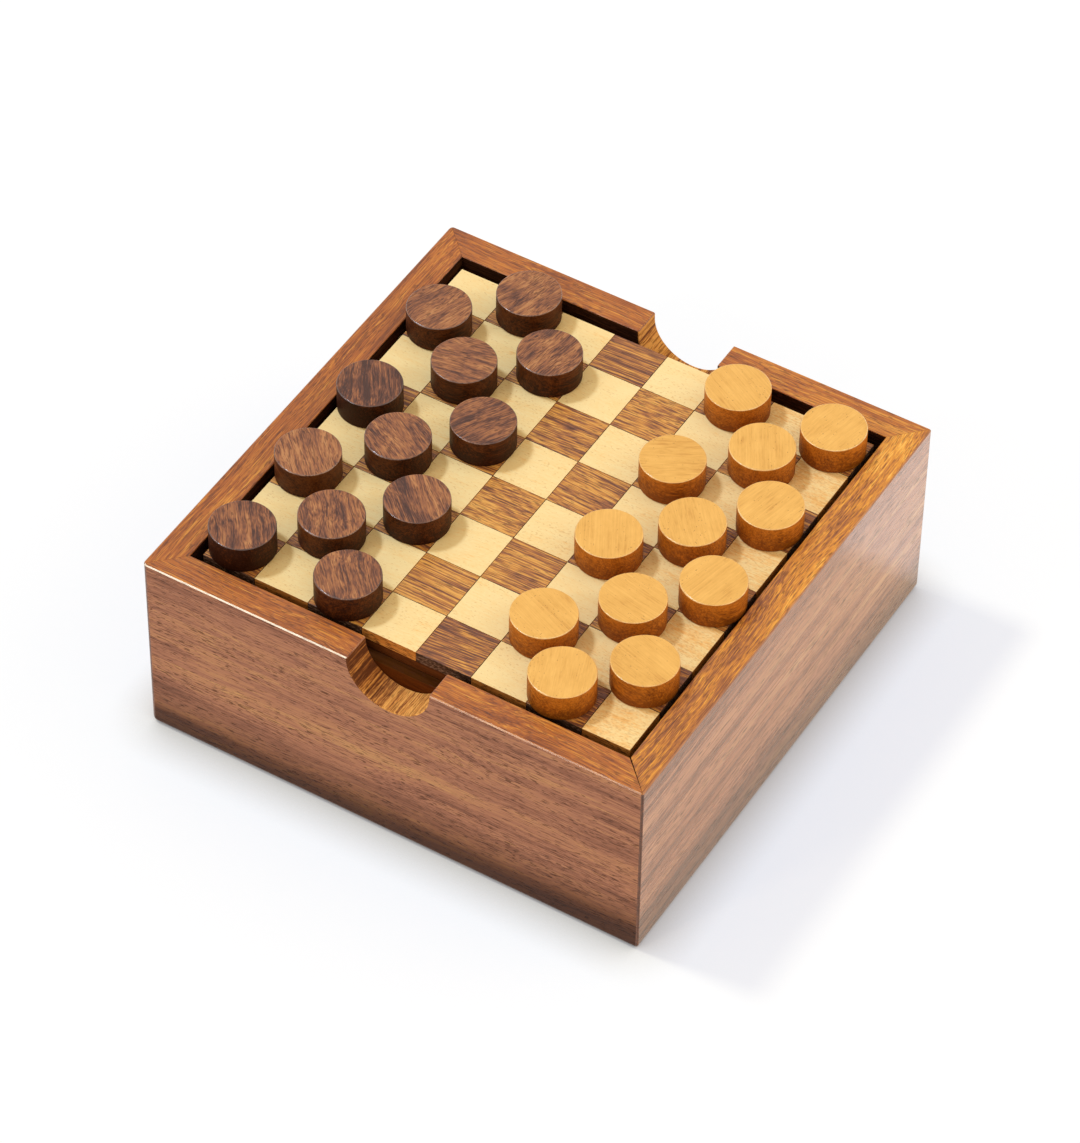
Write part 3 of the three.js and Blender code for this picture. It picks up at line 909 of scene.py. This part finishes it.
# How much lighter or darker than the rest some dark squares are. Those in columns 5 to 7, which lie between the
# light discs, are darker for painted shade.
DARK_SQUARE_TONES_AND_SHADE = {
    (3, 1): 0.11, (3, 3): 0.15, (3, 5): -0.02, (3, 7): -0.16,
    (4, 0): -0.13, (4, 2): 0.03, (4, 4): 0.08, (4, 6): 0.12,
    (6, 0): -0.25, (7, 1): -0.15, (5, 1): -0.1, (6, 2): -0.12, (7, 3): -0.12, (5, 3): -0.1,
}


def add_squares(finish, colour, first_row, node):
    """All squares of one colour, each a separate tile with its own grain, in one piece."""
    work = bmesh.new()
    bottom = BOARD_BOTTOM + SHEET_THICKNESS
    for column in range(SQUARES_ACROSS):
        for row in range((column + first_row) % 2, SQUARES_ACROSS, 2):
            left, right = between(COLUMN_LINES, column)
            front, back = between(ROW_LINES, row)
            add_block(work, (left, front, bottom), (right, back, BOARD_TOP))
    mesh = mesh_from(work, f"{colour}_squares_tiles", SQUARE_EDGE_ROUND)

    woods = {}
    for column in range(SQUARES_ACROSS):
        for row in range(SQUARES_ACROSS):
            turn = random.uniform(-SQUARE_TURN, SQUARE_TURN)
            grain = turned(turn, random.uniform(-SQUARE_DIP, SQUARE_DIP))
            tone = random.uniform(-SQUARE_TONE_CHANGE, SQUARE_TONE_CHANGE)
            if colour == "dark":
                tone = DARK_SQUARE_TONES_AND_SHADE.get((column, row), tone)
            else:
                # Painted shade and bounce light between the discs.
                tone = tone / 2 + SHADED_GOLDEN_COLUMNS.get(column, 0)
            woods[column, row] = (far_off(), grain, tone)

    def wood_at(place):
        return woods[index_among(COLUMN_LINES, place.x), index_among(ROW_LINES, place.y)]

    set_wood(mesh, lambda place: wood_at(place)[1] @ place + wood_at(place)[0])
    set_floats(mesh, "tone", [wood_at(vertex.co / MM)[2] for vertex in mesh.vertices])
    for face in mesh.polygons:
        face.material_index = 0 if face.normal.z > HALF else 1
    smooth_by_angle(mesh, SMOOTH_BELOW)
    materials = [finish[f"{colour}_square"], finish[f"{colour}_edge"]]
    add_piece(f"{colour}_squares_tiles", mesh, "board", [node] if node else [], materials)


def add_sheet(finish):
    """The board's lower sheet, with its edges dark and its underside finished for the second game."""
    low, high = board_low.copy(), board_high.copy()
    high.z = BOARD_BOTTOM + SHEET_THICKNESS
    work = bmesh.new()
    add_block(work, low, high)
    mesh = mesh_from(work, "board_sheet", SHEET_EDGE_ROUND)
    offset = far_off()
    set_wood(mesh, lambda place: place + offset)
    set_floats(mesh, "tone", [0.0] * len(mesh.vertices))
    for face in mesh.polygons:
        face.material_index = 1 if face.normal.z < -HALF else 0
    smooth_by_angle(mesh, SMOOTH_BELOW)
    materials = [finish["sheet"], finish["back"]]
    add_piece("board_sheet", mesh, "board", ["board_core"], materials)


def add_grid(finish):
    """The lines of the tic-tac-toe field, let into the underside and standing just proud of it."""
    reach_x, reach_y = BOARD_WIDTH / 2 - GRID_MARGIN, BOARD_DEPTH / 2 - GRID_MARGIN
    low, high = BOARD_BOTTOM - GRID_PROUD, BOARD_BOTTOM + GRID_LINE_DEPTH
    half = GRID_LINE_WIDTH / 2
    xs = [-reach_x + 2 * reach_x * line / CELLS_ACROSS for line in range(1, CELLS_ACROSS)]
    ys = [-reach_y + 2 * reach_y * line / CELLS_ACROSS for line in range(1, CELLS_ACROSS)]
    work = bmesh.new()
    for x in xs:
        add_block(work, (x - half, -reach_y, low), (x + half, reach_y, high))
    ends = [-reach_x] + [x + side * (half + GLUE_LINE) for x in xs for side in (-1, 1)] + [reach_x]
    for y in ys:
        for start, stop in zip(ends[::2], ends[1::2]):
            add_block(work, (start, y - half, low), (stop, y + half, high))
    mesh = mesh_from(work, "grid_lines", GRID_EDGE_ROUND)
    offset = far_off()
    lengthways, crossways = turned(90), turned(0)

    def place_in_wood(place):
        in_long_line = any(abs(place.x - x) < half + GLUE_LINE / 2 for x in xs)
        return (lengthways if in_long_line else crossways) @ place + offset

    set_wood(mesh, place_in_wood)
    set_floats(mesh, "tone", [0.0] * len(mesh.vertices))
    smooth_by_angle(mesh, SMOOTH_BELOW)
    add_piece("grid_lines", mesh, "board", ["grid_inlay"], [finish["light_square"]])


# Discs

def disc_profile(radius, thickness, top_round):
    """Radius and height from the middle of the underside to the middle of the top, with rounded edges."""
    angles = [math.pi / 2 * step / DISC_ROUND_STEPS for step in range(DISC_ROUND_STEPS + 1)]
    points = [(0.0, 0.0), (radius / 2, 0.0)]
    for angle in angles:
        inwards, upwards = 1 - math.sin(angle), 1 - math.cos(angle)
        points.append((radius - DISC_FOOT_ROUND * inwards, DISC_FOOT_ROUND * upwards))
    for share in DISC_SIDE_SHARES:
        points.append((radius, DISC_FOOT_ROUND + (thickness - top_round - DISC_FOOT_ROUND) * share))
    shoulder = thickness - DISC_CROWN
    for angle in angles:
        inwards, downwards = 1 - math.cos(angle), 1 - math.sin(angle)
        points.append((radius - top_round * inwards, shoulder - top_round * downwards))
    for share in DISC_TOP_SHARES:
        points.append((radius * share, thickness - DISC_CROWN * share * share))
    points.append((0.0, thickness))
    return points


def disc_work(radius, thickness, seed):
    """A turned disc that isn't quite round, with an edge worn more in some places than in others."""
    work = bmesh.new()
    here = Vector((seed * DISC_NOISE_STEP, 0, 0))

    def uneven(angle, turns, strand):
        at = Vector((math.cos(angle) * turns, math.sin(angle) * turns, strand))
        return noise.noise(at + here)

    profiles = []
    for side in range(DISC_SIDES):
        angle = 2 * math.pi * side / DISC_SIDES
        own_radius = radius - DISC_UNEVEN * (0.5 + uneven(angle, OUTLINE_WAVES, 0.0))
        own_round = DISC_TOP_ROUND * (1 + WEAR_CHANGE * uneven(angle, WEAR_WAVES, WEAR_STRAND))
        profiles.append((angle, disc_profile(own_radius, thickness, own_round)))
    count = len(profiles[0][1])
    rings = []
    for place in range(count):
        if place in (0, count - 1):
            rings.append([work.verts.new(Vector((0, 0, profiles[0][1][place][1])) * MM)])
            continue
        ring = []
        for angle, profile in profiles:
            reach, height = profile[place]
            at = Vector((reach * math.cos(angle), reach * math.sin(angle), height))
            ring.append(work.verts.new(at * MM))
        rings.append(ring)
    for lower, upper in zip(rings, rings[1:]):
        for side in range(DISC_SIDES):
            after = (side + 1) % DISC_SIDES
            if len(lower) == 1:
                work.faces.new([lower[0], upper[after], upper[side]])
            elif len(upper) == 1:
                work.faces.new([lower[side], lower[after], upper[0]])
            else:
                work.faces.new([lower[side], lower[after], upper[after], upper[side]])
    return work


# Each disc's grain direction, as an angle from +X, and how much lighter than the rest it is.
DARK_DISC_LOOKS = [
    (127, -0.20), (135, 0.16), (123, -0.24), (72, 0.06), (130, 0.04), (150, -0.02),
    (10, 0.05), (72, 0.06), (131, -0.03), (138, -0.06), (63, -0.06), (79, 0.02),
]
LIGHT_DISC_LOOKS = [
    (158, 0.0), (118, -0.02), (30, -0.05), (152, 0.0), (112, 0.0), (168, -0.02),
    (131, -0.02), (120, 0.0), (163, -0.04), (78, 0.0), (77, 0.0), (79, 0.0),
]


# Where each colour's discs start in the noise that makes them uneven.
FIRST_SEEDS = {"dark": 0, "light": 50}


def add_discs(finish, colour, looks):
    for index, (angle, tone) in enumerate(looks, start=1):
        node = f"{colour}_disc_{index}"
        low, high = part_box(node)
        middle, size = (low + high) / 2 / MM, (high - low) / MM
        radius = size.y / 2
        mesh = mesh_from(disc_work(radius, size.z, FIRST_SEEDS[colour] + index), node)
        offset, turn = far_off(), turned(angle, random.uniform(-DISC_DIP, DISC_DIP))
        set_wood(mesh, lambda place: turn @ place + offset)
        # Painted shade on the side, darker towards the foot.
        shades = [max(0, SIDE_SHADE_START - vertex.co.z / MM / size.z) for vertex in mesh.vertices]
        set_floats(mesh, "tone", [tone - SIDE_SHADE * shade for shade in shades])
        for face in mesh.polygons:
            lean = face.normal.z
            face.material_index = 0 if lean > STEEP else 1 if lean > SLIGHT else 2
        mesh.transform(Matrix.Translation(Vector((middle.x, middle.y, middle.z - size.z / 2)) * MM))
        smooth_by_angle(mesh, DISC_SMOOTH_BELOW)
        materials = [finish[f"{colour}_disc"], finish[f"{colour}_disc_rim"], finish[f"{colour}_disc_side"]]
        add_piece(f"{colour}_counter_{index}", mesh, node, [node], materials)


# Floor, background and lamps

# The camera sees the floor's tint and its glow, which fades close to the object. Reflections see the mirrored
# ones. The floor's light on the object is its bounce.
FLOOR_SIZE = 8000
FLOOR_TINT = (0.46, 0.37, 0.23)
FLOOR_GLOW = (0.515, 0.635, 0.79)
MIRRORED_TINT = 0.85
MIRRORED_GLOW = 0.15
CONTACT_REACH = 14
CONTACT_SAMPLES = 8
BOUNCE = 0.8
AMBIENT = 0.6
AMBIENT_TINT = (1.18, 0.97, 0.70)

# Each lamp's strength, tint, spread, direction as an angle from +X, and height, in degrees.
LAMPS = {
    "key": (1.28, (0.82, 1.0, 1.24), 7.5, 184, 60),
    "side": (0.6, (1.1, 1.0, 0.85), 60, 25, 25),
    "front": (0.3, (1.0, 1.0, 1.0), 8, 244, 36),
}


def light_path(tree):
    """1 for rays from the camera or through glass, and 1 for reflected rays."""
    path = add_node(tree, "ShaderNodeLightPath").outputs
    direct = math_of(tree, "MAXIMUM", path["Is Camera Ray"], path["Is Transmission Ray"])
    return direct, path["Is Glossy Ray"]


def add_floor():
    work = bmesh.new()
    half = FLOOR_SIZE / 2
    corners = [(-half, -half), (half, -half), (half, half), (-half, half)]
    work.faces.new([work.verts.new(Vector((x, y, 0)) * MM) for x, y in corners])
    mesh = bpy.data.meshes.new("floor")
    work.to_mesh(mesh)
    work.free()
    floor = bpy.data.objects.new("floor", mesh)
    bpy.context.collection.objects.link(floor)
    material = bpy.data.materials.new("studio_floor")
    material.use_nodes = True
    tree = material.node_tree
    tree.nodes.remove(tree.nodes["Principled BSDF"])
    direct, glossy = light_path(tree)
    near = {"Distance": CONTACT_REACH * MM}
    open_sky = add_node(tree, "ShaderNodeAmbientOcclusion", near, samples=CONTACT_SAMPLES).outputs["AO"]

    def white_where_lit(tint, glow, strength):
        lit = add_node(tree, "ShaderNodeBsdfDiffuse", {"Color": rgba(tint)}).outputs[0]
        shine = add_node(tree, "ShaderNodeEmission", {"Color": rgba(glow), "Strength": strength}).outputs[0]
        return add_node(tree, "ShaderNodeAddShader", {0: lit, 1: shine}).outputs[0]

    plain = add_node(tree, "ShaderNodeBsdfDiffuse", {"Color": rgba([BOUNCE] * 3)}).outputs[0]
    mirrored = white_where_lit([MIRRORED_TINT] * 3, [MIRRORED_GLOW] * 3, 1.0)
    shown = white_where_lit(FLOOR_TINT, FLOOR_GLOW, open_sky)
    indirect = add_node(tree, "ShaderNodeMixShader", {0: glossy, 1: plain, 2: mirrored}).outputs[0]
    both = add_node(tree, "ShaderNodeMixShader", {0: direct, 1: indirect, 2: shown}).outputs[0]
    tree.links.new(both, tree.nodes["Material Output"].inputs["Surface"])
    mesh.materials.append(material)


def add_world():
    """White to the camera and in reflections, and softer as light."""
    world = bpy.data.worlds.new("studio")
    world.use_nodes = True
    tree = world.node_tree
    direct, glossy = light_path(tree)
    seen = math_of(tree, "MAXIMUM", direct, glossy)
    colour = mixed(tree, seen, rgba([AMBIENT * share for share in AMBIENT_TINT]), rgba((1, 1, 1)))
    tree.links.new(colour, tree.nodes["Background"].inputs["Color"])
    bpy.context.scene.world = world


def add_sun(name, strength, tint, spread, azimuth, elevation):
    """A distant soft lamp."""
    data = bpy.data.lights.new(name, "SUN")
    data.energy = strength
    data.color = tint
    data.angle = math.radians(spread)
    lamp = bpy.data.objects.new(name, data)
    bpy.context.collection.objects.link(lamp)
    a, e = math.radians(azimuth), math.radians(elevation)
    towards = Vector((math.cos(a) * math.cos(e), math.sin(a) * math.cos(e), math.sin(e)))
    lamp.rotation_mode = "QUATERNION"
    lamp.rotation_quaternion = towards.to_track_quat("Z", "Y")


def main():
    add_camera()
    add_world()
    add_floor()
    for name, lamp in LAMPS.items():
        add_sun(name, *lamp)
    finish = {**wall_finishes(), **inside_finishes(), **board_finishes(), **disc_finishes()}
    add_walls(finish)
    add_inside(finish)
    add_sheet(finish)
    add_squares(finish, "dark", 0, None)
    add_squares(finish, "light", 1, "light_squares")
    add_grid(finish)
    add_discs(finish, "dark", DARK_DISC_LOOKS)
    add_discs(finish, "light", LIGHT_DISC_LOOKS)
    bpy.context.scene.view_settings.view_transform = "Standard"


main()
